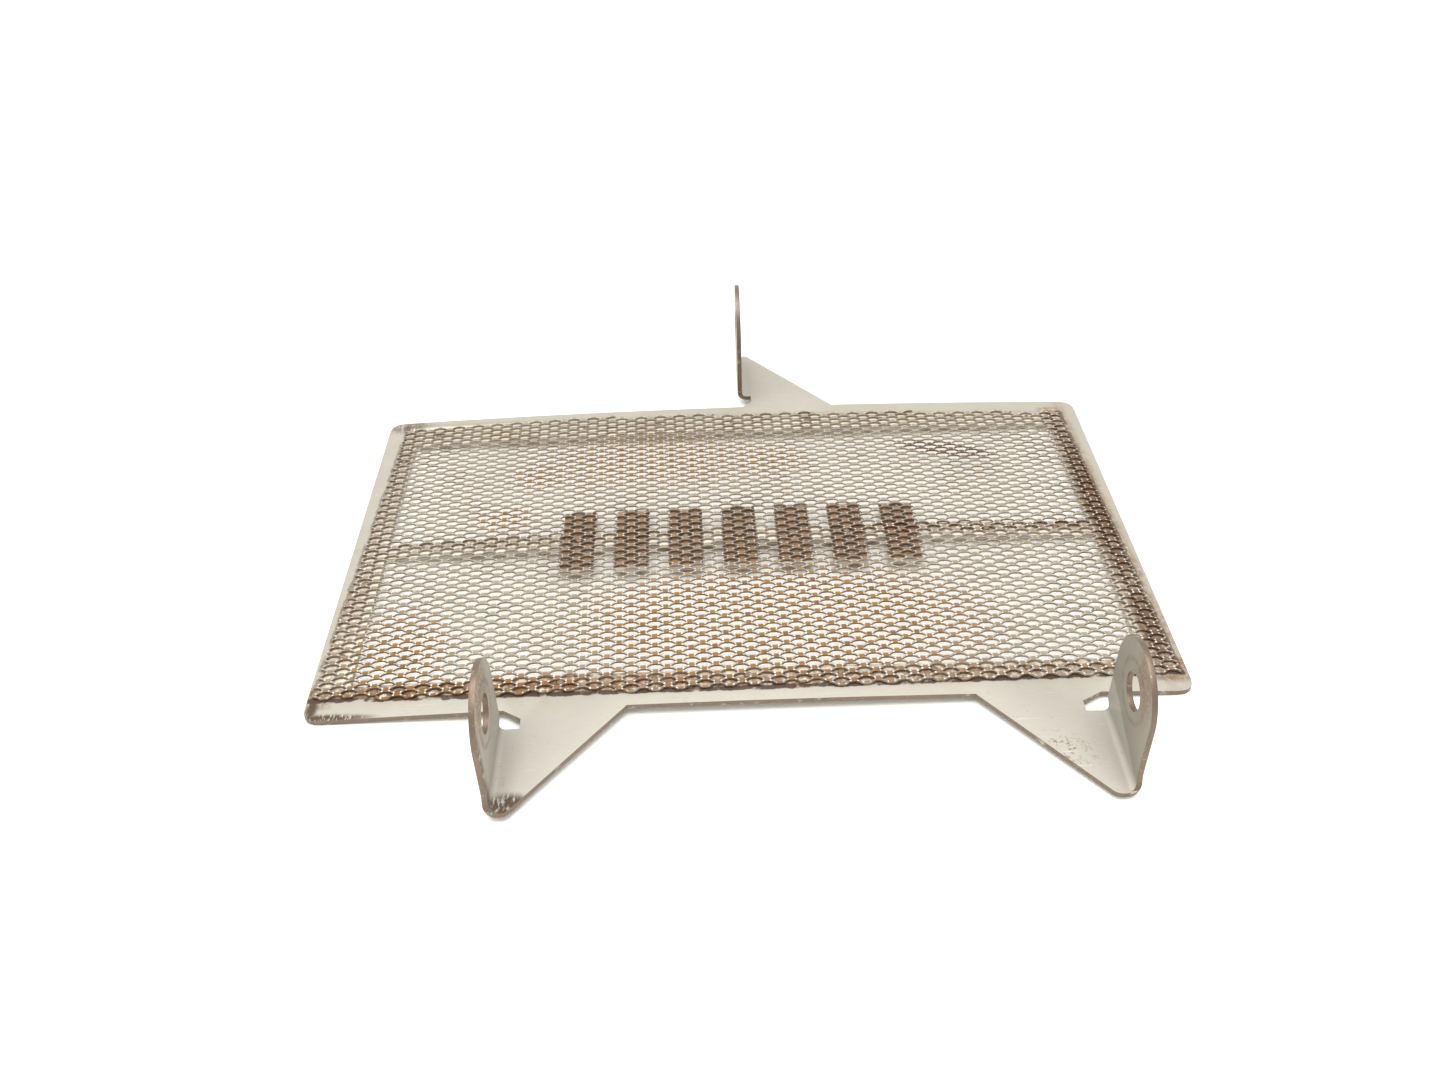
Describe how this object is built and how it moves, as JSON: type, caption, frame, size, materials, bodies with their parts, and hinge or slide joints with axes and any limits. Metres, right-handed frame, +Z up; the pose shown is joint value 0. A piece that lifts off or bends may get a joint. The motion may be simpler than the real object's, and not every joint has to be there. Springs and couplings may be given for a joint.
{
  "type": "radiator guard",
  "caption": "Flat mesh guard: a laser-cut sheet frame with a centre bar and expanded-metal panel, held by folded ears with bolt holes.",
  "frame": {"origin": "centre of the footprint, on the surface that the guard lies on, front face down", "axes": "+X along the guard's length, +Y towards the long edge with one tab, +Z up, from the front face to the ears"},
  "size_m": [0.245, 0.216, 0.0409],
  "materials": {
    "sheet_steel": "satin",
    "mesh_steel": "weathered",
    "weld_steel": "heat_tinted"
  },
  "bodies": {
    "root": {"guard_plate": "sheet_steel", "mesh_panel": "mesh_steel", "weld_front_1": "weld_steel", "weld_front_2": "weld_steel", "weld_front_3": "weld_steel", "weld_front_4": "weld_steel", "weld_front_5": "weld_steel", "weld_front_6": "weld_steel", "weld_front_7": "weld_steel", "weld_front_8": "weld_steel", "weld_front_9": "weld_steel", "weld_back_1": "weld_steel", "weld_back_2": "weld_steel", "weld_back_3": "weld_steel", "weld_back_4": "weld_steel", "weld_back_5": "weld_steel", "weld_back_6": "weld_steel", "weld_back_7": "weld_steel", "weld_back_8": "weld_steel", "weld_back_9": "weld_steel", "weld_left_1": "weld_steel", "weld_left_2": "weld_steel", "weld_left_3": "weld_steel", "weld_left_4": "weld_steel", "weld_right_1": "weld_steel", "weld_right_2": "weld_steel", "weld_right_3": "weld_steel", "weld_right_4": "weld_steel", "weld_bar_1": "weld_steel", "weld_bar_2": "weld_steel", "weld_bar_3": "weld_steel", "weld_bar_4": "weld_steel", "weld_block_1": "weld_steel", "weld_block_2": "weld_steel", "weld_block_3": "weld_steel", "weld_block_4": "weld_steel", "weld_block_5": "weld_steel", "weld_block_6": "weld_steel", "weld_block_7": "weld_steel"}
  },
  "joints": []
}
